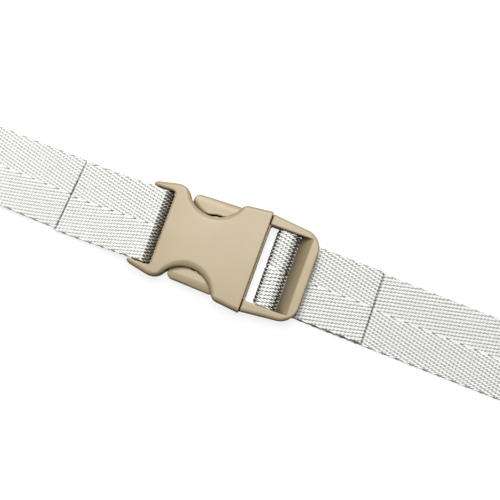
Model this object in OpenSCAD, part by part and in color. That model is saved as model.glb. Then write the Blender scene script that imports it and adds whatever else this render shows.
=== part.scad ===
// Side release buckle on flat webbing, closed and laid on a surface: a socket, the
// insert that snaps into it, and the strap that is folded round the bar of each.
// +X runs from the socket to the insert, +Y across the webbing and +Z up. The origin
// is on the socket's flat underside, halfway along the buckle.

/* [Webbing] */
// Width of the webbing
web_w = 25; // [20:0.5:28]
// Thickness of one ply
web_t = 1.3; // [0.9:0.1:1.4]
// Clearance between a ply and the bar or the ply that it lies on
web_gap = 0.1; // [0.05:0.05:0.15]
// Clearance beside the webbing, between the horns
horn_gap = 0.45; // [0.4:0.05:1]
// Clearance beside the webbing, in the insert's window
window_gap = 0.8; // [0.7:0.05:1.5]

/* [Bars] */
// Height of both webbing bars
bar_h = 2.8; // [2.4:0.1:3.2]
// Width of the socket's bar
socket_bar_w = 3.8; // [3.2:0.1:4.4]
// Width of the insert's inner bar
insert_bar_w = 5; // [3.6:0.1:5.5]
// Gap between the socket's bar and its shell
socket_slot = 1.9; // [1.8:0.1:2.4]

/* [Socket] */
// Height of the buckle
body_h = 9.6; // [9:0.1:11]
// Length of the shell, from the slot to the mouth
shell_l = 32.8; // [31:0.1:38]
// Wall of the shell, above and below the insert
shell_t = 1.8; // [1.2:0.1:2]
// Depth of the solid wall between the slot and the hollow
cross_wall = 5.6; // [4:0.1:6]
// Length of the closed collar at the mouth
collar_l = 9.8; // [8:0.1:12]
// Wall of the collar at the mouth, beside the insert
collar_t = 4; // [3.4:0.1:5]
// How much each side of the collar narrows from the mouth to its shoulder
collar_taper = 1.1; // [0.4:0.1:1.6]
// Corner radius of the collar's shoulder
shoulder_r = 2.4; // [1.8:0.1:2.8]
// Length of the horns
horn_l = 7.9; // [7.6:0.1:10]
// Thickness of a horn at the shell
horn_t = 2.95; // [2.4:0.05:3.6]
// Thickness of a horn at its tip
horn_tip_t = 1.25; // [1.1:0.05:2]
// Corner radius of a horn's tip
tip_r = 1.4; // [1:0.1:1.5]
// Length of the flat faces, back from the mouth
flat_l = 21; // [16:0.5:24]
// How far each face draws in from there to the tips of the horns
horn_drop = 1.6; // [0.4:0.1:1.8]
// Corner radius of the neck beside a scallop
neck_r = 4.5; // [3:0.1:4.8]
// Width of the waist between the scallops
waist_w = 19; // [17.5:0.1:21]
// Radius of a scallop
scallop_r = 10.1; // [9.5:0.1:10.6]
// Rounding of the outer edges
edge_r = 1.4; // [0.8:0.1:1.6]
// Rounding of the edges along a scallop
scallop_edge_r = 2; // [1.4:0.1:2.4]

/* [Insert] */
// Gap between the socket's mouth and the insert's frame
joint_gap = 0.3; // [0.2:0.05:0.6]
// Length of the frame
frame_l = 18.4; // [18:0.1:22]
// Width of a side rail at the socket's mouth
rail_w = 3.7; // [3.2:0.1:4.2]
// How much each side of the frame narrows along its length
frame_taper = 1.85; // [0.8:0.05:2.4]
// Corner radius of the frame beside the outer bar
frame_r = 5.5; // [4:0.1:6]
// How far the frame's faces lie inside the socket's
frame_step = 0.8; // [0.4:0.1:1]
// How far each face of the frame draws in towards the outer bar
frame_drop = 0.6; // [0.2:0.1:0.8]
// Rounding of the frame's edges
frame_edge_r = 1.2; // [0.8:0.1:1.4]
// Thickness of the frame's base, between the socket and the window
base_t = 0.6; // [0.6:0.1:1.2]
// Open slit between the base and the webbing
slit_l = 2.7; // [2:0.1:3]
// Clearance between the webbing's roll and the outer bar
roll_gap = 0.3; // [0.25:0.05:0.6]
// Width of the outer bar's top
outer_bar_w = 3.5; // [3:0.1:4.5]
// Height of the webbing channel at the inner edge of the outer bar
channel_in = 4.6; // [4.5:0.1:5.2]
// Height of the webbing channel at the frame's end
channel_out = 3.6; // [3.5:0.1:4.2]
// Clearance round the parts of the insert that go into the socket
fit_gap = 0.3; // [0.2:0.05:0.4]
// Length of the insert's root inside the socket's mouth
root_l = 5.5; // [4:0.1:7]
// Thickness of an arm's stem
stem_t = 2.3; // [1.8:0.1:2.8]
// How far the stop of an arm's head stands out from its stem
head_step = 2.2; // [1.6:0.1:2.6]
// Width of a head at its widest
head_w = 5.9; // [5:0.1:6.5]
// How much the outside of a head draws in towards its nose
head_taper = 0.7; // [0.2:0.1:1.4]
// Corner radius of a head's nose
nose_r = 1.8; // [1:0.1:2]
// Clearance in front of a head's nose
nose_gap = 0.9; // [0.5:0.1:1.5]
// Width of the bevels along the outside of a head
bevel_w = 2; // [1:0.1:2.4]
// Depth of the bevels along the outside of a head
bevel_h = 1; // [0.5:0.1:1.4]
// Thickness of the guide between the arms
guide_t = 3; // [2:0.1:5]

/* [Straps] */
// Length of the socket's strap past the buckle
left_l = 56.3; // [40:0.1:100]
// Length of the tail of the socket's strap past the buckle
left_tail_l = 25.6; // [21:0.1:34]
// How far past the buckle that tail comes down
left_fall = 15.3; // [13:0.1:17]
// Lean of the socket's strap towards +Y, in degrees
left_lean = 1.7; // [-1.8:0.1:1.8]
// Lean of its tail towards +Y, in degrees
left_tail_lean = 0.4; // [-1.8:0.1:1.8]
// Twist of its far end, in degrees
left_twist = 10; // [0:1:15]
// Slant of the cut at its tail, in degrees
left_slant = 4.4; // [-6:0.1:6]
// Length of the insert's strap past the buckle
right_l = 75.3; // [40:0.1:120]
// Length of the tail of the insert's strap past the buckle
right_tail_l = 22.9; // [12:0.1:34]
// How far past the buckle that strap comes down
right_fall = 2.5; // [2:0.1:4]
// Lean of the insert's strap towards +Y, in degrees
right_lean = -1.7; // [-2:0.1:2]
// Lean of its tail towards +Y, in degrees
right_tail_lean = -1.1; // [-2:0.1:2]
// Slant of the cut at its tail, in degrees
right_slant = 1.2; // [-6:0.1:6]

/* [Hidden] */

corner_steps = 8;     // straight runs in a rounded corner of an outline
edge_steps = 4;       // straight runs in a rounded edge
wrap_steps = 7;       // straight runs in a bend of the webbing
free_steps = 8;       // straight runs along the free end of a strap
overlap = 0.3;        // how far a bar runs into the walls that carry it
beyond = 2;           // how far a cut runs past the face that it opens
neck_flank = 54;      // slope of the scallop's side at the neck, in degrees
shoulder_flank = 64;  // slope of the scallop's side at the shoulder, in degrees
guide_share = 0.85;   // how much of the hollow's length the guide reaches
main_share = 0.68;    // where the lower ply lies down, as a share of the tail's fall
free_share = 0.44;    // share of the lower ply that is twisted
lay_r = 28;           // bend of a ply where it comes down on the surface
leave_r = 12;         // bend of a ply where it leaves a bar
turn_r = 1.2;         // bend of the tail under the roll
selvedge = 0.35;      // rounding of the webbing's edges

// Inner edge of an arm's head. Columns: how far from the stop to the nose, as a share
// of the head's length, and how far in from its outside, as a share of head_w
HEAD_ROWS = [[0, 0.78], [0.25, 0.74], [0.57, 0.83], [0.8, 1], [1, 0.8]];

// Places along the buckle
total_l = horn_l + shell_l + joint_gap + frame_l;
tip_x = -total_l / 2;
slot_x = tip_x + horn_l;
hollow_x = slot_x + cross_wall;
mouth_x = slot_x + shell_l;
stop_x = mouth_x - collar_l;
root_x = mouth_x - root_l;
flat_x = mouth_x - flat_l;
base_x = mouth_x + joint_gap;
window_x = base_x + base_t;
end_x = total_l / 2;
wrap_off = web_gap + web_t / 2;
socket_bar_x = slot_x - socket_slot - socket_bar_w;
insert_bar_x = window_x + slit_l + web_t + web_gap;
slant_x = insert_bar_x + insert_bar_w + web_gap + web_t + roll_gap;
outer_x = end_x - outer_bar_w;

// Heights
mid_z = body_h / 2;
bar_lo = mid_z - bar_h / 2;
bar_hi = mid_z + bar_h / 2;
hollow_lo = shell_t;
hollow_hi = body_h - shell_t;
arm_lo = hollow_lo + fit_gap;
arm_hi = hollow_hi - fit_gap;
frame_lo = frame_step;
frame_hi = body_h - frame_step;
lay_z = web_t / 2;
pitch = web_t + web_gap;

// Half widths
web_half = web_w / 2;
horn_in = web_half + horn_gap;
tip_half = horn_in + horn_tip_t;
neck_half = horn_in + horn_t;
window_half = web_half + window_gap;
frame_half = window_half + rail_w;
hollow_half = window_half + fit_gap;
mouth_half = hollow_half + collar_t;
shoulder_half = mouth_half - collar_taper;
stem_out = hollow_half - fit_gap;
head_out = stem_out + head_step;

// The scallop is an arc between two straight flanks. Its place follows the shoulder.
scallop_y = waist_w / 2 + scallop_r;
flank_run = (shoulder_half - scallop_y + scallop_r * cos(shoulder_flank)) / tan(shoulder_flank);
scallop_x = stop_x - flank_run - scallop_r * sin(shoulder_flank);
flank_start = [scallop_x - scallop_r * sin(neck_flank), scallop_y - scallop_r * cos(neck_flank)];
flank_end = [scallop_x + scallop_r * sin(shoulder_flank), scallop_y - scallop_r * cos(shoulder_flank)];
neck_x = flank_start[0] - (neck_half - flank_start[1]) / tan(neck_flank);

function unit(v) = v / norm(v);
function clamp(t) = min(1, max(0, t));
function smooth(t) = let (s = clamp(t)) s * s * (3 - 2 * s);

// Points of the arc of radius r that rounds the corner b between the points a and c
function rounded(a, b, c, r, steps) =
    let (
        u = unit(a - b),
        v = unit(c - b),
        half = acos(u * v) / 2,
        centre = b + unit(u + v) * r / sin(half),
        from = b + u * r / tan(half) - centre,
        to = b + v * r / tan(half) - centre,
        angle = atan2(from[1], from[0]),
        turn = atan2(from[0] * to[1] - from[1] * to[0], from * to)
    )
    [for (i = [0:steps]) centre + r * [cos(angle + turn * i / steps), sin(angle + turn * i / steps)]];

// Points of a path through the rows [x, y, radius], each inner one rounded by its radius
function rounded_path(rows, steps) =
    let (last = len(rows) - 1, points = [for (row = rows) [row[0], row[1]]])
    [for (i = [0:last])
        each (i == 0 || i == last || rows[i][2] == 0)
            ? [points[i]]
            : rounded(points[i - 1], points[i], points[i + 1], rows[i][2], steps)];

// Faces of a closed tube of rings, each of size points. Its sides are split into triangles
// along diagonals that match above and below, so that a twisted strap keeps its thickness.
function tube_faces(rings, size) = concat(
    [[for (i = [0:size - 1]) i]],
    [for (k = [0:rings - 2], i = [0:size - 1])
        let (a = k * size + i, b = k * size + (i + 1) % size)
        each (i < size / 2)
            ? [[a, a + size, b + size], [a, b + size, b]]
            : [[a, a + size, b], [a + size, b + size, b]]],
    [[for (i = [size - 1:-1:0]) (rings - 1) * size + i]]);

// Moulding that is alike on both sides, between two faces, with rounded edges. Rows of
// half are the outline's one side, [x, y, edge rounding], from -X to +X. Each face draws
// in by drop from x = from to x = to, slowly at first.
module moulding(half, lo, hi, drop, from, to) {
    count = len(half);
    size = 2 * count;
    inwards = [for (i = [0:count - 1])
        let (a = half[max(0, i - 1)], b = half[min(count - 1, i + 1)], along = unit([b[0] - a[0], b[1] - a[1]]))
        [along[1], -along[0]]];
    // Columns: how far in and how far from its face a ring lies, as shares of the rounding
    edge = [for (k = [0:edge_steps]) [1 - sin(90 * k / edge_steps), 1 - cos(90 * k / edge_steps)]];
    function place(i, share) = [half[i][0], half[i][1]] + inwards[i] * half[i][2] * share;
    function drawn(x) = drop * pow(clamp((x - from) / (to - from)), 2);
    function ring(share, face, up, rise) = [for (k = [0:size - 1])
        let (i = min(k, size - 1 - k), p = place(i, share))
        [p[0], k < count ? p[1] : -p[1], face + up * (drawn(p[0]) + half[i][2] * rise)]];
    points = concat(
        [for (k = [0:edge_steps]) each ring(edge[k][0], lo, 1, edge[k][1])],
        [for (k = [edge_steps:-1:0]) each ring(edge[k][0], hi, -1, edge[k][1])]);
    top = (2 * edge_steps + 1) * size;
    sides = [for (k = [0:2 * edge_steps], i = [0:size - 1])
        let (j = (i + 1) % size)
        [k * size + i, k * size + j, (k + 1) * size + j, (k + 1) * size + i]];
    faces = [for (i = [0:count - 2]) each [
        [size - 1 - i, size - 2 - i, i + 1, i],
        [top + i, top + i + 1, top + size - 2 - i, top + size - 1 - i]]];
    polyhedron(points, concat(sides, faces));
}

// Outline drawn in X and Z, carried across the buckle from -half to +half
module across(half) {
    translate([0, half, 0]) rotate([90, 0, 0]) linear_extrude(2 * half) children();
}

// Bar with rounded edges for the webbing, from x, between walls at -half and +half
module web_bar(x, w, half) {
    r = bar_h * 0.46;
    across(half + overlap) polygon(rounded_path([
        [x + w / 2, bar_lo, 0], [x, bar_lo, r], [x, bar_hi, r],
        [x + w, bar_hi, r], [x + w, bar_lo, r], [x + w / 2, bar_lo, 0]], corner_steps));
}

function with_edge(points, r) = [for (p = points) [p[0], p[1], r]];

function socket_half() =
    let (
        tip = rounded([tip_x, 0], [tip_x, tip_half], [slot_x, neck_half], tip_r, corner_steps),
        neck = rounded([slot_x, neck_half], [neck_x, neck_half], flank_start, neck_r, corner_steps),
        sweep = neck_flank + shoulder_flank,
        scallop = [for (i = [0:2 * corner_steps])
            let (share = i / (2 * corner_steps), a = sweep * share - 90 - neck_flank)
            [scallop_x + scallop_r * cos(a), scallop_y + scallop_r * sin(a),
                edge_r + (scallop_edge_r - edge_r) * sin(180 * share)]],
        front = [mouth_x + beyond, mouth_half + collar_taper * beyond / collar_l],
        shoulder = rounded(flank_end, [stop_x, shoulder_half], front, shoulder_r, corner_steps)
    )
    concat(with_edge(concat(tip, [[slot_x, neck_half]], neck), edge_r), scallop,
        with_edge(concat(shoulder, [front]), edge_r));

module socket() {
    slot_corner = 1;
    tall = body_h + 2 * beyond;
    color([0.80, 0.74, 0.63]) {
        difference() {
            moulding(socket_half(), 0, body_h, horn_drop, flat_x, tip_x);
            // Mouth, cut square
            translate([mouth_x, -2 * mouth_half, -beyond]) cube([2 * beyond, 4 * mouth_half, tall]);
            // Hollow for the insert
            translate([hollow_x, -hollow_half, hollow_lo])
                cube([mouth_x + beyond - hollow_x, 2 * hollow_half, hollow_hi - hollow_lo]);
            // Side windows that the heads of the arms snap into
            translate([hollow_x, -2 * mouth_half, hollow_lo])
                cube([stop_x - hollow_x, 4 * mouth_half, hollow_hi - hollow_lo]);
            // Room for the webbing between the horns
            translate([0, 0, -beyond]) linear_extrude(tall) polygon(rounded_path([
                [tip_x - beyond, -horn_in, 0], [slot_x, -horn_in, slot_corner],
                [slot_x, horn_in, slot_corner], [tip_x - beyond, horn_in, 0]], corner_steps));
        }
        web_bar(socket_bar_x, socket_bar_w, horn_in);
    }
}

function frame_outline() =
    let (
        slope = frame_taper / frame_l,
        back = [base_x - beyond, frame_half + slope * beyond],
        corner = rounded(back, [end_x, frame_half - frame_taper], [end_x, 0], frame_r, corner_steps)
    )
    with_edge(concat([back], corner), frame_edge_r);

module frame() {
    tall = body_h + 2 * beyond;
    reach = (outer_x - base_x) / frame_l;
    difference() {
        moulding(frame_outline(), frame_lo, frame_hi, frame_drop, base_x, end_x);
        // Base, cut square
        translate([base_x - 2 * beyond, -2 * frame_half, -beyond]) cube([2 * beyond, 4 * frame_half, tall]);
        // Window, slanted face and channel under the outer bar
        across(window_half) polygon([
            [window_x, -beyond],
            [window_x, body_h + beyond],
            [outer_x, body_h + beyond],
            [outer_x, frame_hi - frame_drop * reach * reach],
            [slant_x, channel_in],
            [end_x + beyond, channel_out + (channel_out - channel_in) * beyond / (end_x - slant_x)],
            [end_x + beyond, -beyond]]);
        // Middle of the base, as low as the root
        for (z = [arm_hi, arm_lo - tall]) translate([base_x - beyond, -window_half, z])
            cube([beyond + base_t + overlap, 2 * window_half, tall]);
    }
    web_bar(insert_bar_x, insert_bar_w, window_half);
}

// Arm on the +Y side: a stem, and a head that stops against the collar
module arm() {
    head_x = stop_x - fit_gap;
    nose_x = hollow_x + nose_gap;
    head_l = head_x - nose_x;
    outline = rounded_path(concat(
        [[root_x, stem_out, 0], [head_x, stem_out, 0], [head_x, head_out, 0]],
        [[nose_x, head_out - head_taper, nose_r]],
        [for (i = [len(HEAD_ROWS) - 1:-1:0])
            let (far = HEAD_ROWS[i][0])
            [head_x - head_l * far, head_out - head_taper * far - head_w * HEAD_ROWS[i][1], 0]],
        [[root_x, stem_out - stem_t, 0]]), corner_steps);
    intersection() {
        translate([0, 0, arm_lo]) linear_extrude(arm_hi - arm_lo) polygon(outline);
        // Section across the buckle, bevelled along the outside
        rotate([90, 0, 90]) translate([0, 0, nose_x - beyond]) linear_extrude(mouth_x - nose_x) polygon([
            [0, arm_lo], [head_out - bevel_w, arm_lo], [head_out, arm_lo + bevel_h],
            [head_out, arm_hi - bevel_h], [head_out - bevel_w, arm_hi], [0, arm_hi]]);
    }
}

module insert() {
    arm_h = arm_hi - arm_lo;
    guide_l = (root_x - hollow_x) * guide_share;
    color([0.81, 0.75, 0.65]) {
        frame();
        // Root of the arms, inside the collar
        translate([root_x, -stem_out, arm_lo]) cube([window_x - root_x, 2 * stem_out, arm_h]);
        // Guide between the arms
        translate([root_x - guide_l, -guide_t / 2, arm_lo]) cube([guide_l + overlap, guide_t, arm_h]);
        for (side = [0, 1]) mirror([0, side, 0]) arm();
    }
}

// Strap that comes in along +X from its far end, under a bar and back over it. Rows of
// path are [distance along X, height, bend], from the far end to the tail. Its lower ply
// leans sideways from the fold, the tail leans by its own angle, the far end twists about
// its +Y edge, and the tail's cut is slanted.
module strap(path, fold, lean, tail_lean, twist, slant) {
    line = rounded_path(path, wrap_steps);
    count = len(line);
    far = line[0][0];
    twist_l = (far - fold) * free_share;
    flat_half = web_t / 2;
    section = [
        [-web_half, -flat_half + selvedge], [-web_half, flat_half - selvedge],
        [-web_half + selvedge, flat_half], [web_half - selvedge, flat_half],
        [web_half, flat_half - selvedge], [web_half, -flat_half + selvedge],
        [web_half - selvedge, -flat_half], [-web_half + selvedge, -flat_half]];
    turned = [for (i = [0:count - 1]) if (line[i][0] == min([for (p = line) p[0]])) i][0];
    points = [for (i = [0:count - 1])
        let (
            a = line[max(0, i - 1)],
            b = line[min(count - 1, i + 1)],
            along = unit(b - a),
            up = [-along[1], along[0]],
            below = i <= turned,
            sway = (line[i][0] - fold) * tan(below ? lean : tail_lean),
            roll = below ? twist * smooth((line[i][0] - far + twist_l) / twist_l) : 0,
            cut = i == count - 1 ? tan(slant) : 0
        )
        for (s = section)
            let (in = (web_half - s[0]), thick = s[1])
            [
                line[i][0] + up[0] * thick - s[0] * cut,
                web_half - in * cos(roll) + sway,
                line[i][1] + up[1] * thick + in * sin(roll)
            ]];
    polyhedron(points, tube_faces(count, len(section)));
}

// Far stretch of a strap, in runs that are short enough to twist
function free_run(far, near) = [for (i = [0:free_steps - 1])
    [far + (near - far) * i / free_steps, lay_z, 0]];

module strap_left() {
    inner = -(socket_bar_x + socket_bar_w) - wrap_off;
    outer = -socket_bar_x;
    fall = end_x + left_fall;
    rest = end_x + left_fall * main_share;
    color([0.93, 0.93, 0.92]) mirror([1, 0, 0]) strap(concat(
        free_run(end_x + left_l, rest),
        [
            [rest, lay_z, lay_r],
            [outer - socket_bar_w / 4, bar_lo - wrap_off, leave_r],
            [inner, bar_lo - wrap_off, bar_h / 2 + wrap_off - 0.01],
            [inner, bar_hi + wrap_off, bar_h / 2 + wrap_off - 0.01],
            [outer + wrap_off, bar_hi + wrap_off, leave_r],
            [fall, lay_z + pitch, lay_r],
            [end_x + left_tail_l, lay_z + pitch, 0]
        ]), inner, left_lean, left_tail_lean, left_twist, left_slant);
}

module strap_right() {
    inner = insert_bar_x - wrap_off;
    outer = insert_bar_x + insert_bar_w + wrap_off;
    under = bar_lo - wrap_off;
    rest = end_x + right_fall;
    leave = insert_bar_x + insert_bar_w * 0.64;
    slope = atan2(under - lay_z, rest - leave);
    turn_z = lay_z + (rest - outer) * tan(slope) + pitch / cos(slope);
    color([0.93, 0.93, 0.92]) strap(concat(
        free_run(end_x + right_l, rest),
        [
            [rest, lay_z, lay_r],
            [leave, under, leave_r],
            [inner, under, bar_h / 2 + wrap_off - 0.01],
            [inner, bar_hi + wrap_off, bar_h / 2 + wrap_off - 0.01],
            [outer, bar_hi + wrap_off, bar_h / 2 + wrap_off - 0.01],
            [outer, turn_z, turn_r],
            [rest + pitch * tan(slope / 2), lay_z + pitch, lay_r - pitch],
            [end_x + right_tail_l, lay_z + pitch, 0]
        ]), inner, right_lean, right_tail_lean, 0, right_slant);
}

socket();
insert();
strap_left();
strap_right();
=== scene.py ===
# %% [markdown]
# # A side release buckle on white webbing
# The buckle is two plastic mouldings and two lengths of herringbone webbing. The packed
# solids are the frame: they say where everything is. This script hides each of them
# behind a finished piece, which is made at the same place from a formula. Lengths are
# written in millimetres and become metres only when a mesh is written.

# %% The frame
import math
from itertools import product

import bpy
import numpy as np
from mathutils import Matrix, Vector


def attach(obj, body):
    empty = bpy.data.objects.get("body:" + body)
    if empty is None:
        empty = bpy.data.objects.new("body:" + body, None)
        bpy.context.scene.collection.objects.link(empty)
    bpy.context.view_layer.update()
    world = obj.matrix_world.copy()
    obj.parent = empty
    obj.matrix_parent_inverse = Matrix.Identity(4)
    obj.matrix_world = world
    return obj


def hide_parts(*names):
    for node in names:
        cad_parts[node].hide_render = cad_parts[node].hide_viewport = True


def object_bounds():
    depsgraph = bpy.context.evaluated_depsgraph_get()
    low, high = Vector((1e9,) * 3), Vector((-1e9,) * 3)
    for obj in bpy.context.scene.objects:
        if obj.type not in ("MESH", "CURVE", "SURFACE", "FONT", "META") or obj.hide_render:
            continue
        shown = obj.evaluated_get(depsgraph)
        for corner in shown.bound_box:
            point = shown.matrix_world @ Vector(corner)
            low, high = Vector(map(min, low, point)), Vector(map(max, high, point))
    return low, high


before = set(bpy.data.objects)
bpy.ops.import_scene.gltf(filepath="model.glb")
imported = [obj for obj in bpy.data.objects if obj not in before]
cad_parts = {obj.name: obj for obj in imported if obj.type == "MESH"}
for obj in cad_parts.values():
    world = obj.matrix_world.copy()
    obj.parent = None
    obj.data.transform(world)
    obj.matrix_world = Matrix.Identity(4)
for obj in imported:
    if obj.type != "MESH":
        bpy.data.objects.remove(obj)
cad_lo, cad_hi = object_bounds()
MM = 0.001
print("solids:", list(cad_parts))
print("their box in mm:", [round(v / MM, 1) for v in (*cad_lo, *cad_hi)])

# %% [markdown]
# ## The camera
# The buckle was photographed from almost straight above, a little from its -Y side, and
# turned by 20 degrees in the picture. A camera could be placed by eye, but a direction, a
# distance and a scale are easier to correct: each does one thing. The lens follows from
# the scale, which is how many pixels of the picture one millimetre takes.

# %% Camera
AZIMUTH, ELEVATION = math.radians(19.9), math.radians(84)
AIM = Vector((7.75, 3.3, 5)) * MM
DISTANCE = 450 * MM
PIXELS_PER_MM = 3.017
PICTURE_SIDE = 500
SENSOR = 36

back = Vector((
    math.sin(AZIMUTH) * math.cos(ELEVATION),
    -math.cos(AZIMUTH) * math.cos(ELEVATION),
    math.sin(ELEVATION),
))
camera = bpy.data.objects.new("camera", bpy.data.cameras.new("camera"))
bpy.context.scene.collection.objects.link(camera)
camera.location = AIM + back * DISTANCE
camera.rotation_mode = "QUATERNION"
camera.rotation_quaternion = (-back).to_track_quat("-Z", "Y")
camera.data.sensor_width = SENSOR
camera.data.lens = PIXELS_PER_MM * DISTANCE / MM / PICTURE_SIDE * SENSOR
bpy.context.scene.camera = camera
print("lens:", round(camera.data.lens, 1), "mm")

# %% [markdown]
# ## Light
# The photograph is a catalogue picture. Its faces that look up are evenly bright, and the
# walls on its +Y side are brighter than those on its -Y side. So one large lamp hangs
# above, a second one stands behind the +Y side, and a weak third one in front keeps the
# -Y walls from going black. Large lamps give soft edges to the shadows. The warm world
# light stands for what one piece of the plastic throws on the next.

# %% Light
def area_light(name, place, size, power):
    """A square lamp that faces the buckle. Place and size are in millimetres, power in watts."""
    lamp = bpy.data.objects.new(name, bpy.data.lights.new(name, "AREA"))
    bpy.context.scene.collection.objects.link(lamp)
    lamp.location = Vector(place) * MM
    lamp.rotation_mode = "QUATERNION"
    lamp.rotation_quaternion = (lamp.location - AIM).to_track_quat("Z", "Y")
    lamp.data.size = size * MM
    lamp.data.energy = power


area_light("top_light", (-70, 120, 700), 280, 3.0)
area_light("key_light", (-100, 470, 560), 300, 4.4)
area_light("fill_light", (60, -560, 150), 400, 0.5)

WORLD_TINT, WORLD_STRENGTH = (1, 0.93, 0.8, 1), 0.09
world = bpy.data.worlds.new("studio")
bpy.context.scene.world = world
world.use_nodes = True
world.node_tree.nodes["Background"].inputs["Color"].default_value = WORLD_TINT
world.node_tree.nodes["Background"].inputs["Strength"].default_value = WORLD_STRENGTH
bpy.context.scene.view_settings.view_transform = "Standard"
print("lamps:", [light.name for light in bpy.data.lights])

# %% [markdown]
# ## Meshes from arrays
# Every piece ends as an array of points and arrays of faces. One function hands them to
# Blender in bulk, which is many times faster than adding faces one by one.

# %% Mesh helper
def add_mesh(name, points, faces, material, solid, layers, normals=None):
    """Makes a smooth mesh of points (n, 3) in millimetres and a list of face arrays
    (m, corners), which stands for that solid. layers holds more numbers for each point: one,
    or three."""
    mesh = bpy.data.meshes.new(name)
    mesh.vertices.add(len(points))
    mesh.vertices.foreach_set("co", (np.asarray(points) * MM).astype(np.float32).ravel())
    sizes = np.concatenate([np.full(len(f), f.shape[1]) for f in faces])
    mesh.loops.add(int(sizes.sum()))
    corners = np.concatenate([f.ravel() for f in faces])
    mesh.loops.foreach_set("vertex_index", corners.astype(np.int32))
    mesh.polygons.add(len(sizes))
    mesh.polygons.foreach_set("loop_start", (np.cumsum(sizes) - sizes).astype(np.int32))
    mesh.update(calc_edges=True)
    mesh.shade_smooth()
    if normals is not None:
        mesh.normals_split_custom_set_from_vertices(normals.tolist())
    for key, values in layers.items():
        values = np.asarray(values, np.float32)
        kind, field = ("FLOAT", "value") if values.ndim == 1 else ("FLOAT_VECTOR", "vector")
        mesh.attributes.new(key, kind, "POINT").data.foreach_set(field, values.ravel())
    mesh.materials.append(material)
    piece = bpy.data.objects.new(name, mesh)
    bpy.context.scene.collection.objects.link(piece)
    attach(piece, "root")
    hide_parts(solid)
    print(name, "has", int((sizes - 2).sum()), "triangles")
    return piece


# %% [markdown]
# ## Shader maths
# A node tree is easier to read as a sum than as a list of links. This small class wraps a
# node's output, and the operators add the Math nodes.

# %% Shader helper
class Wire:
    """An output socket, or a number, that can be added, multiplied and so on."""

    def __init__(self, tree, socket):
        self.tree = tree
        self.socket = socket

    def node(self, kind, settings=None, inputs=None, output=0):
        """Adds a node of that kind, sets its settings, then its inputs, and returns one output."""
        made = self.tree.nodes.new(kind)
        for key, value in (settings or {}).items():
            setattr(made, key, value)
        for key, value in (inputs or {}).items():
            if isinstance(value, Wire):
                self.tree.links.new(value.socket, made.inputs[key])
            else:
                made.inputs[key].default_value = value
        return Wire(self.tree, made.outputs[output])

    def maths(self, operation, *values):
        """A Math node of those values, wires or numbers."""
        return self.node("ShaderNodeMath", {"operation": operation}, dict(enumerate(values)))

    def __add__(self, other):
        return self.maths("ADD", self, other)

    def __radd__(self, other):
        return self.maths("ADD", other, self)

    def __rsub__(self, other):
        return self.maths("SUBTRACT", other, self)

    def __mul__(self, other):
        return self.maths("MULTIPLY", self, other)

    def __rmul__(self, other):
        return self.maths("MULTIPLY", other, self)

    def between(self, low, high):
        """0 below low, 1 above high, and a smooth step between them."""
        return self.node(
            "ShaderNodeMapRange",
            {"interpolation_type": "SMOOTHSTEP", "clamp": True},
            {"Value": self, "From Min": low, "From Max": high},
        )

    def mixed(self, colour_a, colour_b):
        """The colour between two, by this wire as the factor."""
        return self.node(
            "ShaderNodeMix", {"data_type": "RGBA"}, {0: self, 6: colour_a, 7: colour_b}, 2
        )


def new_material(name, **sockets):
    """A material whose Principled shader has those sockets set, its tree's wire, and its shader."""
    material = bpy.data.materials.new(name)
    material.use_nodes = True
    shader = material.node_tree.nodes["Principled BSDF"]
    for key, value in sockets.items():
        shader.inputs[key.replace("_", " ")].default_value = value
    return material, Wire(material.node_tree, None), shader


# %% [markdown]
# ## Floor
# The ground of the photograph is white without a horizon. A flat sheet would end in a dark
# line as soon as the camera looks along it, so the floor is a wide bowl: flat under the
# buckle, then bent upwards all round. It glows nearly enough to print white by itself, and
# what the lamps add to it is just so much that a contact shadow still shows. The buckle
# doesn't see the floor, because its glow would light every wall from below.

# %% Floor
FLOOR_FLAT, FLOOR_BEND, FLOOR_SIDES, FLOOR_RINGS = 1500, 1500, 96, 25
FLOOR_GREY, FLOOR_GLOW = 0.26, 0.82
floor_paint, _, _ = new_material(
    "floor_paint", Base_Color=(FLOOR_GREY, FLOOR_GREY, FLOOR_GREY, 1), Roughness=0.9,
    Emission_Color=(1, 1, 1, 1), Emission_Strength=FLOOR_GLOW,
)
bend = np.radians(np.linspace(0, 90, FLOOR_RINGS))
reach = np.concatenate([[1], FLOOR_FLAT + FLOOR_BEND * np.sin(bend)])[:, None]
climb = np.concatenate([[0], FLOOR_BEND * (1 - np.cos(bend))])[:, None]
turn = np.arange(FLOOR_SIDES) * 2 * np.pi / FLOOR_SIDES
rings = np.stack(np.broadcast_arrays(
    reach * np.cos(turn), reach * np.sin(turn), climb + cad_lo.z / MM
), axis=-1)
ids = np.arange(rings.size // 3).reshape(rings.shape[:2])
bowl = np.stack([ids[:-1], ids[1:], np.roll(ids[1:], -1, 1), np.roll(ids[:-1], -1, 1)], axis=-1)
floor_faces = [*bowl.reshape(-1, 4).tolist(), ids[0].tolist()]
floor_mesh = bpy.data.meshes.new("floor")
floor_mesh.from_pydata((rings.reshape(-1, 3) * MM).tolist(), [], floor_faces)
floor_mesh.materials.append(floor_paint)
floor = bpy.data.objects.new("floor", floor_mesh)
bpy.context.scene.collection.objects.link(floor)
floor.visible_diffuse = floor.visible_glossy = floor.visible_shadow = False
print("floor faces:", len(floor_faces))

# %% [markdown]
# ## Moulded solids
# The socket and the insert are injection mouldings: every edge is rounded, and the walls
# run into each other in fillets. Grids of two parameters make good skins, but where a
# slot, a window and a scallop meet, their seams would have to be trimmed by hand. So these
# two are made another way. A shape is a function of x, y and z that is negative inside,
# and cutting, joining and rounding are small formulas on it. The surface is where the
# function is zero, and a net of cells that straddle it gives the mesh.

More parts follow.
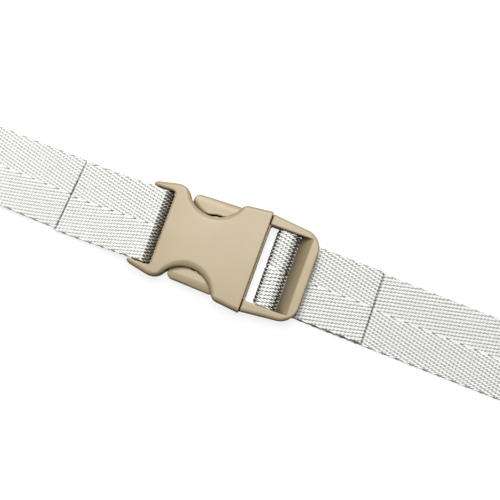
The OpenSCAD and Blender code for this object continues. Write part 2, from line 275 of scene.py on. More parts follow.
# %% Joining and cutting
def both(a, b, radius=0.0):
    """Where a and b hold together. Their shared edge is rounded: past -radius of each, the
    distance is that from the centre line of the rounding."""
    u, v = np.maximum(a + radius, 0), np.maximum(b + radius, 0)
    return np.minimum(np.maximum(a, b), -radius) + np.hypot(u, v)


def either(a, b, radius=0.0):
    """Where a or b holds, with a fillet of that radius where they meet."""
    return -both(-a, -b, radius)


def without(a, b, radius=0.0):
    """What is left of a when b is cut out, with a rounded rim."""
    return both(a, -b, radius)


def slab(v, low, high):
    """Distance past either end of a range."""
    return np.abs(v - (low + high) / 2) - (high - low) / 2


def skewed(radius, degrees):
    """both() rounds two faces that turn by that angle as if they met squarely, so its radius
    is the true one times tan(angle / 2) sin(angle)."""
    turn = math.radians(degrees)
    return radius * math.tan(turn / 2) * math.sin(turn)


# %% [markdown]
# ## A net over a formula
# A formula has no faces, so it is looked at on a grid of small cells. Marching cubes would
# put triangles into each cell, and leaves slivers. A surface net puts one point into each
# cell that the surface passes through, and joins them with quads. The points are pulled
# onto the surface, averaged with their neighbours and pulled back. The normals come from
# the formula's slope, so the shading doesn't show the cells.

# %% The net
def slope(solid, points, step=0.02):
    """How solid changes along x, y and z, by central differences."""
    shifts = np.eye(3) * step
    return np.stack([
        solid(*(points + shift).T) - solid(*(points - shift).T) for shift in shifts
    ], axis=1) / (2 * step)


def settle(solid, points):
    """Moves points onto the surface: back along the slope by value / slope squared."""
    value, rise = solid(*points.T), slope(solid, points)
    return points - rise * (value / np.maximum((rise**2).sum(1), 0.2))[:, None]


def net(solid, low, high, cell):
    """Points, quads and normals of the surface where solid(x, y, z) is zero. Each cell with
    corners on both sides gets a point, and each grid edge that crosses gets a quad of the
    four cells around it."""
    axes = [np.arange(a - cell * 1.3, b + 2.3 * cell, cell) for a, b in zip(low, high)]
    inside = solid(axes[0][:, None, None], axes[1][None, :, None], axes[2][None, None, :]) < 0
    nx, ny, nz = np.array(inside.shape) - 1
    count = sum(
        inside[i:i + nx, j:j + ny, k:k + nz].astype(int) for i, j, k in product((0, 1), repeat=3)
    )
    crossed = (count > 0) & (count < 8)
    number = np.cumsum(crossed.ravel()).reshape(crossed.shape) - 1
    points = np.argwhere(crossed) * cell + [a[0] + cell / 2 for a in axes]
    quads = []
    for turn in range(3):
        order = [(turn + i) % 3 for i in range(3)]
        side, cells = inside.transpose(order), number.transpose(order)
        change = side[:-1, 1:-1, 1:-1] != side[1:, 1:-1, 1:-1]
        i, j, k = np.nonzero(change)
        around = ((0, 0), (1, 0), (1, 1), (0, 1))
        ring = np.stack([cells[i, j + v, k + w] for v, w in around], axis=1)
        outward = side[i, j + 1, k + 1]
        quads.append(np.where(outward[:, None], ring, ring[:, ::-1]))
    quads = np.concatenate(quads)
    for _ in range(2):
        points = settle(solid, points)
    smooth = np.zeros_like(points)
    met = np.bincount(quads.ravel(), minlength=len(points))
    for axis in range(3):
        middle = points[quads, axis].mean(1)
        smooth[:, axis] = np.bincount(quads.ravel(), np.repeat(middle, 4), len(points)) / met
    points = settle(solid, settle(solid, smooth))
    rise = slope(solid, points)
    return points, quads, rise / np.linalg.norm(rise, axis=1)[:, None]


# %% [markdown]
# ## Moulded plastic
# Acetal buckles are coloured right through and come from the mould with a fine even grain.
# The light makes most of the picture, so the material stays quiet: a sand colour that
# drifts a little, a satin roughness, and a grain in the bump. Where a place is closed in,
# shade is painted into the colour, which goes warm and dark, and the gloss goes too. Each
# point of the mesh says how open its place is, in an attribute that is worked out further
# down.

# %% Moulded plastic
SATIN, DULL = 0.42, 0.9
OPEN_ENOUGH = 0.62
DRIFT_SCALE, GRAIN_SCALE, GRAIN_DEPTH = 90, 3200, 0.03 * MM


def moulded_plastic(name, colour, shade, hollow):
    """Satin plastic between two close colours, with painted shade and dullness where a place is
    closed in.
    """
    material, wire, shader = new_material(name, Roughness=SATIN)
    place = wire.node("ShaderNodeTexCoord", output=3)
    noise = "ShaderNodeTexNoise"
    drift = wire.node(noise, None, {"Vector": place, "Scale": DRIFT_SCALE, "Detail": 3})
    openness = wire.node("ShaderNodeAttribute", {"attribute_name": "open"}, output=2)
    sand = drift.between(0.3, 0.7).mixed(colour, shade)
    # Painted shade: closed places are mixed towards the dark warm colour.
    base = openness.between(0, OPEN_ENOUGH).mixed(hollow, sand)
    wire.tree.links.new(base.socket, shader.inputs["Base Color"])
    rough = DULL - (DULL - SATIN) * openness.between(0.1, 0.8)
    wire.tree.links.new(rough.socket, shader.inputs["Roughness"])
    grain = wire.node(noise, None, {"Vector": place, "Scale": GRAIN_SCALE, "Detail": 2})
    bump = wire.node(
        "ShaderNodeBump", None, {"Height": grain, "Strength": 0.12, "Distance": GRAIN_DEPTH}
    )
    wire.tree.links.new(bump.socket, shader.inputs["Normal"])
    return material


SAND, SAND_SHADE = (0.4, 0.322, 0.198, 1), (0.385, 0.306, 0.185, 1)
# The colour of painted shade in closed places.
PAINTED_SHADE = (0.04, 0.028, 0.012, 1)
socket_plastic = moulded_plastic("socket_plastic", SAND, SAND_SHADE, PAINTED_SHADE)
insert_plastic = moulded_plastic("insert_plastic", SAND, SAND_SHADE, PAINTED_SHADE)

# %% [markdown]
# ## The socket
# The socket is a flat shell. Its horns carry the webbing's bar, its scallops bare the
# arms of the insert, and its collar takes the load. Places run along x from the tip of the
# horns to the mouth, and both sides are alike, so the distance from the middle is enough.

# %% Socket sizes
BODY_H = 9.6
MID_Z = BODY_H / 2
TIP_X, SLOT_X, HOLLOW_X, FLAT_X = -29.7, -21.65, -16.2, -10.0
STOP_X, MOUTH_X = 1.2, 11.0
TIP_HALF, NECK_HALF, SHOULDER_HALF, MOUTH_HALF = 14.2, 15.9, 16.5, 17.6
TIP_R, NECK_R, SHOULDER_R = 1.4, 4.5, 2.4
HORN_DROP, CROWN_DROP = 1.6, 0.45
HORN_IN, SLOT_R = 12.95, 1.2
SCALLOP_X, SCALLOP_Y, SCALLOP_R = -8.53, 19.6, 10.1
NECK_FLANK, SHOULDER_FLANK = 54, 64
SHELL_T, HOLLOW_HALF = 1.8, 13.6
EDGE_R, SCALLOP_EDGE_R, RIM_R, SLOT_RIM_R = 1.4, 2.6, 0.35, 0.7
SOCKET_BAR_X, SOCKET_BAR_W, BAR_H = -27.5, 3.8, 2.8


# %% Socket shape
def scallop(x, side):
    """A notch between two straight flanks with a round bottom. Outside the wedge of its
    flanks, moved in by the radius, the nearest place is its corner or a flank."""
    a, b = math.radians(NECK_FLANK), math.radians(SHOULDER_FLANK)
    dx, dy = x - SCALLOP_X, side - SCALLOP_Y
    left, right = -dx * math.sin(a) - dy * math.cos(a), dx * math.sin(b) - dy * math.cos(b)
    up_left, up_right = -dx * math.cos(a) + dy * math.sin(a), dx * math.cos(b) + dy * math.sin(b)
    corner = (up_left < 0) & (up_right < 0)
    return np.where(corner, np.hypot(dx, dy), np.maximum(left, right)) - SCALLOP_R


def web_bar(x, side, z, start, width, half):
    """A bar for the webbing, from start along x, with a round section, out to half."""
    section = both(slab(x, start, start + width), np.abs(z - MID_Z) - BAR_H / 2, 0.46 * BAR_H)
    return np.maximum(section, side - half)


def socket_solid(x, y, z):
    """The shell less its hollow, windows and slot, with the bar between its horns."""
    side = np.abs(y)
    horn_half = TIP_HALF + (NECK_HALF - TIP_HALF) * (x - TIP_X) / (SLOT_X - TIP_X)
    horn = side - np.minimum(horn_half, NECK_HALF)
    collar_half = SHOULDER_HALF + (MOUTH_HALF - SHOULDER_HALF) * (x - STOP_X) / (MOUTH_X - STOP_X)
    collar = side - collar_half
    at_neck = x < SCALLOP_X
    plan = both(TIP_X - x, np.where(at_neck, horn, collar), TIP_R)
    corner = np.where(at_neck, skewed(NECK_R, NECK_FLANK), skewed(SHOULDER_R, SHOULDER_FLANK))
    plan = without(plan, scallop(x, side), corner)
    drawn = HORN_DROP * np.clip((x - FLAT_X) / (TIP_X - FLAT_X), 0, 1) ** 2
    drawn = drawn + CROWN_DROP * (side / MOUTH_HALF) ** 2
    middle = np.clip(1 - np.abs(x - SCALLOP_X) / SCALLOP_R, 0, 1)
    edge = EDGE_R + (SCALLOP_EDGE_R - EDGE_R) * middle * (2 - middle)
    body = both(plan, np.abs(z - MID_Z) - (MID_Z - drawn), edge)
    body = both(body, x - MOUTH_X, RIM_R)
    level = np.abs(z - MID_Z) - (MID_Z - SHELL_T)
    hollow = both(both(HOLLOW_X - x, side - HOLLOW_HALF, 0.8), level, 0.5)
    window = both(slab(x, HOLLOW_X, STOP_X), level, 0.5)
    body = without(body, np.minimum(hollow, window), 0.35)
    slot = both(x - SLOT_X, side - HORN_IN, SLOT_R)
    body = without(body, slot, SLOT_RIM_R)
    bar = web_bar(x, side, z, SOCKET_BAR_X, SOCKET_BAR_W, HORN_IN + 0.3)
    return either(body, bar, 0.35)


NET_CELL = 0.25
socket_points, socket_quads, socket_normals = net(
    socket_solid, (TIP_X, -MOUTH_HALF, 0), (MOUTH_X, MOUTH_HALF, BODY_H), NET_CELL
)
print("socket:", len(socket_quads), "quads")

# %% [markdown]
# ## The insert
# The insert is a frame with a window for the webbing, and two arms that spring into the
# socket and show in its scallops. All that is inside the socket lies PLAY towards +Y.

# %% Insert sizes
BASE_X, WINDOW_X, OUTER_X, SLANT_X, END_X = 11.3, 11.6, 26.4, 22.4, 29.4
FRAME_HALF, FRAME_END_HALF, WINDOW_HALF = 17.0, 15.15, 13.3
FRAME_STEP, FRAME_DROP, FRAME_R, FRAME_EDGE_R = 0.8, 0.25, 5.5, 1.1
CHANNEL_IN, CHANNEL_OUT = 4.6, 3.6
INSERT_BAR_X, INSERT_BAR_W = 16.0, 4.4
ROOT_X, STEM_OUT, STEM_T = 5.5, 13.3, 2.3
ARM_HALF_H = 2.7
HEAD_X, NOSE_X = 0.9, -15.3
HEAD_OUT, HEAD_TAPER, HEAD_W = 15.5, 0.7, 5.9
HEAD_FAR, HEAD_SHARE = (0, 0.25, 0.45, 0.62, 0.8, 1), (0.86, 0.86, 0.86, 0.97, 1, 0.8)
BEVEL_W, BEVEL_H = 2.0, 1.2
GUIDE_X, GUIDE_T = -12.9, 3.0
PLAY = 0.2


# %% Insert shape
def insert_frame(x, side, z):
    """A plate with rounded edges, less its window. The outer bar stays between the slanted
    face above the window and the channel below."""
    along = (x - BASE_X) / (END_X - BASE_X)
    plan = both(side - (FRAME_HALF + (FRAME_END_HALF - FRAME_HALF) * along), x - END_X, FRAME_R)
    drawn = FRAME_DROP * np.clip(along, 0, 1) ** 2 + CROWN_DROP * (side / MOUTH_HALF) ** 2
    edge = FRAME_EDGE_R - 0.55 * np.clip((x - OUTER_X) / 2, 0, 1)
    plate = both(plan, np.abs(z - MID_Z) - (MID_Z - FRAME_STEP - drawn), edge)
    near_end = BASE_X - 0.25 * np.clip((MID_Z + 0.3 - z) / 0.6, 0, 1)
    plate = both(plate, near_end - x, 0.2)
    top = BODY_H - FRAME_STEP - FRAME_DROP * ((OUTER_X - BASE_X) / (END_X - BASE_X)) ** 2
    run, rise = OUTER_X - SLANT_X, top - CHANNEL_IN
    slant = ((z - CHANNEL_IN) * run - (x - SLANT_X) * rise) / math.hypot(run, rise)
    ceiling = CHANNEL_IN + (CHANNEL_OUT - CHANNEL_IN) * (x - SLANT_X) / (END_X - SLANT_X)
    outer_bar = both(slant, ceiling - z, 0.1)
    window = both(WINDOW_X - x, side - WINDOW_HALF, 1.0)
    window = both(window, -outer_bar, 0.15)
    low_base = both(both(x - WINDOW_X - 1, side - WINDOW_HALF), ARM_HALF_H - np.abs(z - MID_Z))
    return without(without(plate, window, 0.5), low_base, 0.3)


def arms(x, side, z):
    """Two stems with heads that widen towards the nose, bevelled along the outside."""
    far = (HEAD_X - x) / (HEAD_X - NOSE_X)
    outside = HEAD_OUT - HEAD_TAPER * np.clip(far, 0, 1)
    inside = outside - HEAD_W * np.interp(far, HEAD_FAR, HEAD_SHARE)
    head = both(both(side - outside, NOSE_X - x, 1.8), both(inside - side, x - HEAD_X, 0.3), 1.2)
    stem = both(slab(side, STEM_OUT - STEM_T, STEM_OUT), slab(x, HEAD_X - 1, ROOT_X + 1))
    plan = either(head, stem, 0.8)
    level = np.abs(z - MID_Z) - ARM_HALF_H
    bevel = ((side - HEAD_OUT + BEVEL_W) * BEVEL_H + level * BEVEL_W) / math.hypot(BEVEL_W, BEVEL_H)
    return both(both(plan, level, 0.45), bevel, 0.6)


def insert_solid(x, y, z):
    """The frame, its bar, the root inside the mouth, the guide and the arms."""
    side = np.abs(y - PLAY)
    level = np.abs(z - MID_Z) - ARM_HALF_H
    root = both(both(slab(x, ROOT_X, WINDOW_X), side - STEM_OUT, 0.3), level, 0.3)
    guide = both(both(slab(x, GUIDE_X, ROOT_X + 1), side - GUIDE_T / 2, 0.6), level, 0.4)
    inner = either(either(root, guide, 0.5), arms(x, side, z), 0.8)
    side = np.abs(y)
    bar = web_bar(x, side, z, INSERT_BAR_X, INSERT_BAR_W, WINDOW_HALF + 0.3)
    return either(either(insert_frame(x, side, z), inner, 0.3), bar, 0.35)


insert_lo, insert_hi = (NOSE_X, -FRAME_HALF, FRAME_STEP), (END_X, FRAME_HALF, BODY_H - FRAME_STEP)
insert_points, insert_quads, insert_normals = net(insert_solid, insert_lo, insert_hi, NET_CELL)
print("insert:", len(insert_quads), "quads")

# %% [markdown]
# ## The path of a strap
# A strap is a flat band that follows a line: in along the floor, up under a bar, over it
# and back down. The line is a few corners, each turned into an arc, as in the solid. Every
# yarn is then placed by three numbers: how far along the line, how far across the band,
# and how far off its middle.

# %% Strap path
WEB_HALF = 12.5
ARC_POINTS, STEPS_PER_MM = 65, 20
SLANT_RUN, SWELL_RUN = 14, 4


def rounded_path(rows):
    """Dense points (n, 2) of a path through rows (u, z, bend), each inner corner an arc of
    radius bend: its centre is on the bisector, bend / sin(half the corner) away."""
    rows = np.array(rows, float)
    points = [rows[:1, :2]]
    for before, at, after, bend in zip(rows[:-2, :2], rows[1:-1, :2], rows[2:, :2], rows[1:-1, 2]):
        back_way = (before - at) / np.linalg.norm(before - at)
        on_way = (after - at) / np.linalg.norm(after - at)
        half = math.acos(back_way @ on_way) / 2
        bisector = (back_way + on_way) / np.linalg.norm(back_way + on_way)
        centre = at + bisector * bend / math.sin(half)
        start = at + back_way * bend / math.tan(half) - centre
        turn = (math.pi - 2 * half) * np.sign(start[1] * back_way[0] - start[0] * back_way[1])
        angle = math.atan2(start[1], start[0]) + turn * np.linspace(0, 1, ARC_POINTS)
        points.append(centre + bend * np.stack([np.cos(angle), np.sin(angle)], axis=1))
    return np.concatenate([*points, rows[-1:, :2]])


class Band:
    """A strap's line, and where a place on the strap is in space."""

    def __init__(self, rows, side, lean, tail_lean, slant, twist=0.0, twist_from=0.0):
        """Rows are (distance from the middle, height, bend). side is 1 for +X and -1 for
        -X. Angles are in degrees. swell can be set to (start, end, share) of a stretch that
        spreads."""
        points = rounded_path(rows)
        run = np.concatenate([[0], np.cumsum(np.hypot(*np.diff(points, axis=0).T))])
        self.length = run[-1]
        self.run = np.linspace(0, self.length, int(self.length * STEPS_PER_MM))
        self.u, self.z = (np.interp(self.run, run, points[:, i]) for i in (0, 1))
        self.turned = self.run[np.argmin(self.u)]
        slopes = np.tan(np.radians(np.where(self.run < self.turned, lean, tail_lean)))
        self.sway = (self.u - self.u.min()) * slopes
        below = self.run < self.turned
        reach = np.clip((self.u - twist_from) / (rows[0][0] - twist_from + 1e-9), 0, 1) * below
        self.roll = math.radians(twist) * reach**2 * (3 - 2 * reach)
        self.side, self.slant, self.swell = side, math.tan(math.radians(slant)), None

    def place(self, along, across, off):
        """Points (..., 3) of places along, across and off the middle of the strap. The
        tail's cut is slanted by a shear that grows over its last stretch."""
        at_tail = np.clip((along - self.length + SLANT_RUN) / SLANT_RUN, 0, 1)
        along = along - self.slant * across * at_tail
        step = self.run[1]
        u, z = np.interp(along, self.run, self.u), np.interp(along, self.run, self.z)
        du = np.interp(along, self.run, np.gradient(self.u, step))
        dz = np.interp(along, self.run, np.gradient(self.z, step))
        past = np.clip(along - self.length, 0, None) - np.clip(-along, 0, None)
        if self.swell:
            start, end, share = self.swell
            grown = np.clip(np.minimum(along - start, end - along) / SWELL_RUN, 0, 1)
            across = across * (1 + share * grown)
        inwards = WEB_HALF - across
        roll = np.interp(along, self.run, self.roll)
        y = WEB_HALF - inwards * np.cos(roll) + np.interp(along, self.run, self.sway)
        x = u + past * du - dz * off
        z = z + past * dz + du * off + inwards * np.sin(roll)
        return np.stack([self.side * x, y, z], axis=-1)


LAY_Z, PLY, UNDER_Z, OVER_Z = 0.65, 1.4, 2.65, 6.95
TAIL_Z = LAY_Z + PLY
left_band = Band([
    (86.0, LAY_Z, 0), (40.1, LAY_Z, 28), (26.55, UNDER_Z, 12), (22.55, UNDER_Z, 2.0),
    (22.55, 5.9, 1.6), (24.9, OVER_Z, 4), (28.25, OVER_Z, 12),
    (45.0, TAIL_Z, 28), (55.3, TAIL_Z, 0),
], -1, 1.7, 0.4, 4.4, 10, 58.3)
right_band = Band([
    (105.0, LAY_Z, 0), (32.2, LAY_Z, 28), (19.2, UNDER_Z, 12), (14.9, UNDER_Z, 2.14),
    (14.9, OVER_Z, 2.14), (21.05, OVER_Z, 2.14), (21.05, 3.675, 1.2),
    (32.3, TAIL_Z, 26.6), (52.6, TAIL_Z, 0),
], 1, -1.7, -1.1, 1.2)
right_band.swell = (right_band.turned - 1, right_band.turned + 13, 0.055)
print("strap lengths:", round(left_band.length, 1), "and", round(right_band.length, 1), "mm")

# %% [markdown]
# ## Woven from yarns
# A picture of a weave on a flat band looks printed on as soon as the light comes from the
# side. So the webbing is woven. Its warp yarns run the length of the strap, 89 in the left
# one and 85 in the right one, over two weft picks and under two, each one pick later than
# its neighbour. The order turns round at the middle, which gives the herringbone. A yarn's
# height is a flattened wave. Each float also leans across, because the floats that lie on
# top spread over the ones below. At the turn itself three yarns rise together, so the one
# in the middle is wider and lies flatter, or a dark seam would show between them.

# %% Warp yarns
WARP_HALF = 12.28
RISE, LEAN = 0.42, 0.22
YARN_W, YARN_H = 0.28, 0.18
RING_SIDES = 6
FLATNESS, CHANCE = 2.2, 0.022
MIDDLE_ENDS, MIDDLE_RISE, MIDDLE_LIFT, MIDDLE_W = (0, 1, 2), (0.3, 0.7, 1), (0.3, 0.12, 0), 1.6
RINGS_IN_PICK = (0.12, 0.5, 0.88)


def wound_faces(tubes, rings, sides, flip):
    """Quads of closed tubes whose points are numbered tube by tube and ring by ring, and
    the caps at their ends."""
    ids = np.arange(tubes * rings * sides).reshape(tubes, rings, sides)
    near, far = ids[:, :-1], ids[:, 1:]
    quads = np.stack([near, np.roll(near, -1, 2), np.roll(far, -1, 2), far], axis=-1).reshape(-1, 4)
    caps = np.concatenate([ids[:, 0, ::-1], ids[:, -1]])
    return [quads[:, ::-1], caps[:, ::-1]] if flip else [quads, caps]


def warp(band, picks, side_ends, turns, half, seed):
    """Points (ends, rings, sides, 3) of the warp on one half of the strap, 1 or -1, and what
    each point is on its yarn: along, across and how high. A wave takes four picks. Where
    the herringbone turns round at the bend, its picks are counted from there."""
    chance = np.random.default_rng(seed)
    at = (np.arange(picks)[:, None] + RINGS_IN_PICK).ravel()
    at[[0, -1]] = 0, picks
    end = (half * np.arange(half < 0, side_ends + 1))[:, None]
    middle = band.turned / band.length * picks
    order = -np.abs(at - middle) if turns else at
    phase = (order + np.abs(end)) / 4
    wave = np.tanh(FLATNESS * np.sin(2 * np.pi * phase)) / math.tanh(FLATNESS)
    off = RISE * np.interp(np.abs(end), MIDDLE_ENDS, MIDDLE_RISE) * wave
    lean = LEAN * (2 * (2 * phase % 1) - 1) * half
    across = WARP_HALF / side_ends * end + lean
    off = off + chance.normal(0, CHANCE, off.shape)
    across = across + chance.normal(0, CHANCE, off.shape)
    along = np.broadcast_to(at * band.length / picks, off.shape).copy()
    along[:, -1] += chance.uniform(-0.15, 0.1, len(end))
    pitch_angle = np.arctan(np.gradient(off, axis=1) / np.gradient(along, axis=1))[..., None]
    turn = np.arange(RING_SIDES) * 2 * np.pi / RING_SIDES
    wide = YARN_W * np.cos(turn) * np.where(end == 0, MIDDLE_W, 1)[..., None]
    high = YARN_H * np.sin(turn) / np.sin(np.pi / 3)
    s = along[..., None] - high * np.sin(pitch_angle)
    n = off[..., None] + high * np.cos(pitch_angle)
    t = across[..., None] + wide
    lift = np.interp(np.abs(end), MIDDLE_ENDS, MIDDLE_LIFT)[..., None]
    thread = np.stack([s, wide + end[..., None] * 3 + 0 * s, np.abs(n) + lift], axis=-1)
    return band.place(s, t, n), thread


# %% [markdown]
# ## The weft
# The weft yarns run across the strap. They show only between the floats, and along the
# selvedges, where they turn back. Each could be a tube as well, but one closed sheet that
# is thick at every pick and thin between looks the same from outside, with fewer faces.

# %% Weft
WEFT_ACROSS = np.array([0, 6, 11.9, 12.2, 12.42, 12.58])
WEFT_DEPTH = np.array([0.16, 0.16, 0.2, 0.36, 0.34, 0.14])
RINGS_PER_PICK, BEAD_FROM, BEAD_PINCH = 4, 12, 0.08


def weft(band, picks):
    """A closed sheet that waves with the picks, thick at each and thin between, with a bead
    along either selvedge where the weft turns back. Rows run round the sheet."""
    column, depth = WEFT_ACROSS, WEFT_DEPTH
    across = np.concatenate([-column[::-1], column[1:], column[::-1], -column[1:]])
    thick = np.concatenate([depth[::-1], depth[1:], -depth[::-1], -depth[1:]])
    at = np.arange(picks * RINGS_PER_PICK + 1) / RINGS_PER_PICK
    beat = (0.5 + 0.5 * np.cos(2 * np.pi * (at - 0.5)))[:, None]
    bead = np.abs(across) > BEAD_FROM
    t = across + np.sign(across) * (bead * BEAD_PINCH * (beat - 1))
    n = thick * np.where(bead, 0.55 + 0.45 * beat, 0.7 + 0.6 * beat)
    s = at[:, None] * band.length / picks + 0 * across
    thread = np.stack([0 * s, t + 0 * s, np.abs(n)], axis=-1)
    return band.place(s, t + 0 * s, n)[None], thread[None]


# %% [markdown]
# ## Webbing material
# The webbing is bleached polyester: white and nearly without gloss. Shade is painted into
# what is deep in the weave and into the folds, and a faint line of bumps along each yarn
# stands for its filaments, which are too fine to model. The tail's cut is darker: partly
# brown where the heat of the cut melted it shut, partly painted shade under its edge.

# %% Webbing material
FILAMENT_STRETCH, FILAMENT_DEPTH = (0.8, 9, 3), 0.06 * MM
# Where the darkening of the tail's cut begins and is full: partly brown from melting, partly
# painted shade.
SEAL_SHADE_FROM, SEAL_SHADE_FULL = 0.75, 0.35


def webbing_paint(name, band, crown, valley_shade, hollow, seal_and_shade):
    """White yarns with painted shade down in the weave and in the folds, and darker at the cut,
    partly melted brown and partly painted shade.
    """
    material, wire, shader = new_material(name, Roughness=0.75, Specular_IOR_Level=0.2)
    thread = wire.node("ShaderNodeAttribute", {"attribute_name": "thread"}, output=1)
    along, height = (wire.node("ShaderNodeSeparateXYZ", None, {0: thread}, i) for i in (0, 2))
    openness = wire.node("ShaderNodeAttribute", {"attribute_name": "open"}, output=2)
    # Painted shade: low places in the weave are mixed towards a dark grey, closed places towards a
    # dark brown, and crowns stay lighter.
    crest = height.between(0.1, 0.55)
    top = height.between(0.48, 0.62)
    base = (openness + top * 0.25).between(0.12, 0.6).mixed(hollow, crest.mixed(valley_shade, crown))
    noise = "ShaderNodeTexNoise"
    spots = wire.node(noise, None, {"Vector": thread, "Scale": 0.9, "Detail": 1})
    # The tail's cut: partly brown from melting by heat, partly painted shade under the edge, mixed
    # towards the dark brown.
    at_cut = along.between(band.length - SEAL_SHADE_FROM, band.length - SEAL_SHADE_FULL)
    sealed_and_shaded = at_cut * (0.45 + 0.55 * spots.between(0.42, 0.55)) * seal_and_shade
    base = sealed_and_shaded.mixed(base, hollow)
    wire.tree.links.new(base.socket, shader.inputs["Base Color"])
    stretched = wire.node(
        "ShaderNodeVectorMath", {"operation": "MULTIPLY"}, {0: thread, 1: FILAMENT_STRETCH}
    )
    filaments = wire.node(noise, None, {"Vector": stretched, "Scale": 2.2, "Detail": 2})
    bump = wire.node(
        "ShaderNodeBump", None, {"Height": filaments, "Strength": 0.5, "Distance": FILAMENT_DEPTH}
    )
    wire.tree.links.new(bump.socket, shader.inputs["Normal"])
    return material


# The last two colours are painted shade: a dark grey down in the weave, a dark brown in folds and
# closed places.
CROWN, VALLEY_SHADE, FOLD_SHADE = (0.875, 0.88, 0.855, 1), (0.14, 0.135, 0.12, 1), (0.07, 0.06, 0.035, 1)
webbing_left = webbing_paint("webbing_left", left_band, CROWN, VALLEY_SHADE, FOLD_SHADE, 1)
webbing_right = webbing_paint("webbing_right", right_band, CROWN, VALLEY_SHADE, FOLD_SHADE, 0.4)

# %% [markdown]
# ## Weaving both straps
# Both straps use one pattern, so a short table holds what differs: the picks, the warp
# yarns on either side of the middle one, whether the herringbone turns round at the bend,
# the material, its slot, and the moulding whose bar the strap is folded round. The weft
# is one piece, and the warp is two, one on either side, so that no mesh grows too big.

# %% Weaving both straps
STRAPS = (
    ("strap_left", left_band, 90, 44, True, webbing_left, "webbing_left", "socket"),
    ("strap_right", right_band, 107, 42, False, webbing_right, "webbing_right", "insert"),
)
PARTS = ("weft", "warp_a", "warp_b")
woven = {}
for strap, band, picks, side_ends, turns, *_ in STRAPS:
    woven[f"{strap}_warp_a"] = warp(band, picks, side_ends, turns, 1, 11)
    woven[f"{strap}_warp_b"] = warp(band, picks, side_ends, turns, -1, 12)
    woven[f"{strap}_weft"] = weft(band, picks)
print("woven points:", {name: points.size // 3 for name, (points, _) in woven.items()})

# %% [markdown]
# ## How open each place is
# Light hardly gets into the folds, under the bars and down between the yarns, and a path
# tracer needs many bounces to show how dark and warm such a place is. The plan of the
# whole buckle gives a good guess: a map of the highest point in each small square. From a
# point, the steepest rise to the map in each direction is its horizon, and the share of
# the sky above the horizon says how open it is. The same seen from below is added, so that
# the underside comes out as fair as the top.
#
# The materials paint this share into the colour as shade. Four places get more painted
# shade than the map can tell, each with a share of its own: the bends of the straps (FOLDS,
# by distance from the middle), the walls of the insert's window (by height), the crack
# between the two mouldings (by distance from the other one, and wider where it is deep, at
# the nose of the arms and at the mouth), and the base of the window. The straps past the
# ends of the buckle lie open to the studio, so there the map counts for less.

# %% Horizon maps
MAP_CELL, MAP_RIM, DIRECTIONS = 0.4, 8, 12
REACHES = (0.5, 1, 1.6, 2.4, 3.5, 5, 7)
FAR_BELOW = -99.0


def horizon_share(points, heights_of):
    """The mean over directions of cos(horizon) squared, 1 / (1 + steepest rise squared)."""
    low = heights_of[:, :2].min(0) - MAP_RIM
    shape = ((heights_of[:, :2].max(0) + MAP_RIM - low) / MAP_CELL).astype(int) + 1
    cell = ((heights_of[:, :2] - low) / MAP_CELL).astype(int)
    heights = np.full(shape, FAR_BELOW)
    np.maximum.at(heights, (cell[:, 0], cell[:, 1]), heights_of[:, 2])
    share = np.zeros(len(points))
    for angle in np.arange(DIRECTIONS) * 2 * np.pi / DIRECTIONS:
        rise = np.zeros(len(points))
        for reach in REACHES:
            place = points[:, :2] + reach * np.array([np.cos(angle), np.sin(angle)])
            i, j = ((place - low) / MAP_CELL).astype(int).T
            rise = np.maximum(rise, (heights[i, j] - points[:, 2]) / reach)
        share += 1 / (1 + rise**2) / DIRECTIONS
    return share


# Shares of painted shade: in the window by height, in the crack by x, and in the strap bends by
# distance from the middle.
WINDOW_DEPTHS, WINDOW_SHARES = (5, 7, 8.35, 8.7), (0.22, 0.345, 0.375, 1)
CRACK_PLACES, CRACKS, BASE_CRACK = (-14, -6, 4, 8), (2.4, 0.7, 0.7, 1.4), 0.15
STRAP_FOLD_Z, STRAP_OPEN_X, STUDIO_SHARE = 3.2, 29.2, 0.6
OFF_SURFACE = 0.8
FOLDS = {
    "strap_left": ((22.0, 23.6, 24.9, 25.3), (0.03, 0.12, 0.33, 1)),
    "strap_right": (
        (14.3, 15.2, 15.9, 16.5, 18.5, 19.5, 21.5, 23.0, 23.5),
        (0.1, 0.2, 0.5, 1, 1, 0.44, 0.4, 0.4, 1),
    ),
}
clouds = {
    "socket": socket_points + OFF_SURFACE * socket_normals,
    "insert": insert_points + OFF_SURFACE * insert_normals,
}
clouds.update((name, points.reshape(-1, 3)) for name, (points, _) in woven.items())
everything = np.concatenate([socket_points, insert_points, *(clouds[name] for name in woven)])
upside_down = np.array([1, 1, -1])
open_share = {}
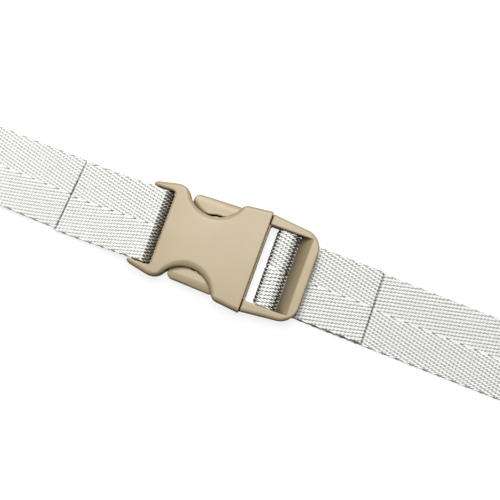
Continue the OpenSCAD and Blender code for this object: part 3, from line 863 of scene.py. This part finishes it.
for name, cloud in clouds.items():
    above = horizon_share(cloud, everything)
    below = horizon_share(cloud * upside_down, everything * upside_down)
    open_share[name] = np.clip(above + below, 0, 1)
for strap, (places, shares) in FOLDS.items():
    for name in (f"{strap}_{part}" for part in PARTS):
        x, y, z = clouds[name].T
        folded = np.where(z > STRAP_FOLD_Z, np.interp(np.abs(x), places, shares), 1)
        share = open_share[name] * folded
        in_studio = STUDIO_SHARE + (1 - STUDIO_SHARE) * share
        open_share[name] = np.where(np.abs(x) > STRAP_OPEN_X, in_studio, share)
mouldings = (("socket", socket_points, insert_solid), ("insert", insert_points, socket_solid))
for name, cloud, other in mouldings:
    at_base = (cloud[:, 0] > ROOT_X) & (np.abs(cloud[:, 1]) < WINDOW_HALF)
    crack = np.interp(cloud[:, 0], CRACK_PLACES, CRACKS)
    gap = other(*cloud.T) / np.where(at_base, BASE_CRACK, crack)
    open_share[name] *= np.clip(gap, 0.02, 1)
x, y, z = insert_points.T
in_window = (x > INSERT_BAR_X) & (x < OUTER_X + 0.2) & (np.abs(y) < WINDOW_HALF + 0.2)
open_share["insert"] *= np.where(in_window, np.interp(z, WINDOW_DEPTHS, WINDOW_SHARES), 1)
print("openness:", {name: round(float(share.mean()), 2) for name, share in open_share.items()})

# %% [markdown]
# ## The pieces
# Now the arrays become objects. Nothing on the buckle has a joint, so each piece rides on
# the root body. A moulding stands for its solid alone. The three parts of a strap stand
# for one solid together.

# %% The pieces
for node, points, quads, normals, material in (
    ("socket", socket_points, socket_quads, socket_normals, socket_plastic),
    ("insert", insert_points, insert_quads, insert_normals, insert_plastic),
):
    layers = {"open": open_share[node]}
    add_mesh(
        f"{node}_moulding", points, [quads], material, node, layers, normals
    )
for strap, band, *_, material, slot, bar in STRAPS:
    for part in PARTS:
        points, thread = woven[f"{strap}_{part}"]
        faces = wound_faces(*points.shape[:3], (band.side > 0) == (part == "weft"))
        layers = {"thread": thread.reshape(-1, 3), "open": open_share[f"{strap}_{part}"]}
        add_mesh(
            f"{strap}_{part}", points.reshape(-1, 3), faces, material, strap, layers
        )
